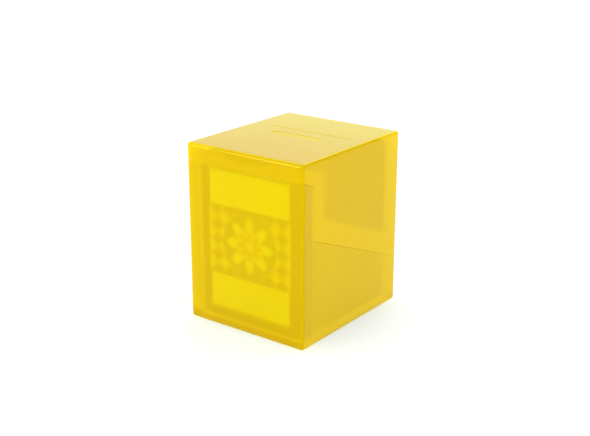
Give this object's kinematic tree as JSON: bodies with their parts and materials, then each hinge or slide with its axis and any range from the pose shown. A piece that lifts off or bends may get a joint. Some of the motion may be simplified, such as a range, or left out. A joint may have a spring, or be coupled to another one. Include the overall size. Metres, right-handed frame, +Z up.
{
  "type": "deck box with drawer tray",
  "caption": "Translucent deck box: a drawer tray with stepped, slanting sides holds a deck of sleeved cards under a lift-off cover that laps over the tray's lip.",
  "frame": {"origin": "centre of the underside that the box stands on", "axes": "+Z up, -Y towards the front wall that the first card stands behind, +X to the right seen from the front"},
  "size_m": [0.077, 0.089, 0.1],
  "materials": {
    "case_plastic": "translucent, polished outside and hazy inside",
    "clear_film": "clear film",
    "printed_card": "printed card",
    "dark_sleeve": "matte"
  },
  "bodies": {
    "drawer": {"drawer_tray": "case_plastic"},
    "deck": {"front_sleeve": "clear_film", "front_card": "printed_card", "deck_cards": "dark_sleeve"},
    "cover": {"cover": "case_plastic"}
  },
  "joints": [
    {"name": "deck_lift", "type": "slide", "parent": "drawer", "child": "deck", "axis": [0, 0, 1], "range_m": [0, 0.1]},
    {"name": "cover_lift", "type": "slide", "parent": "deck", "child": "cover", "axis": [0, 0, 1], "range_m": [0, 0.08]}
  ]
}
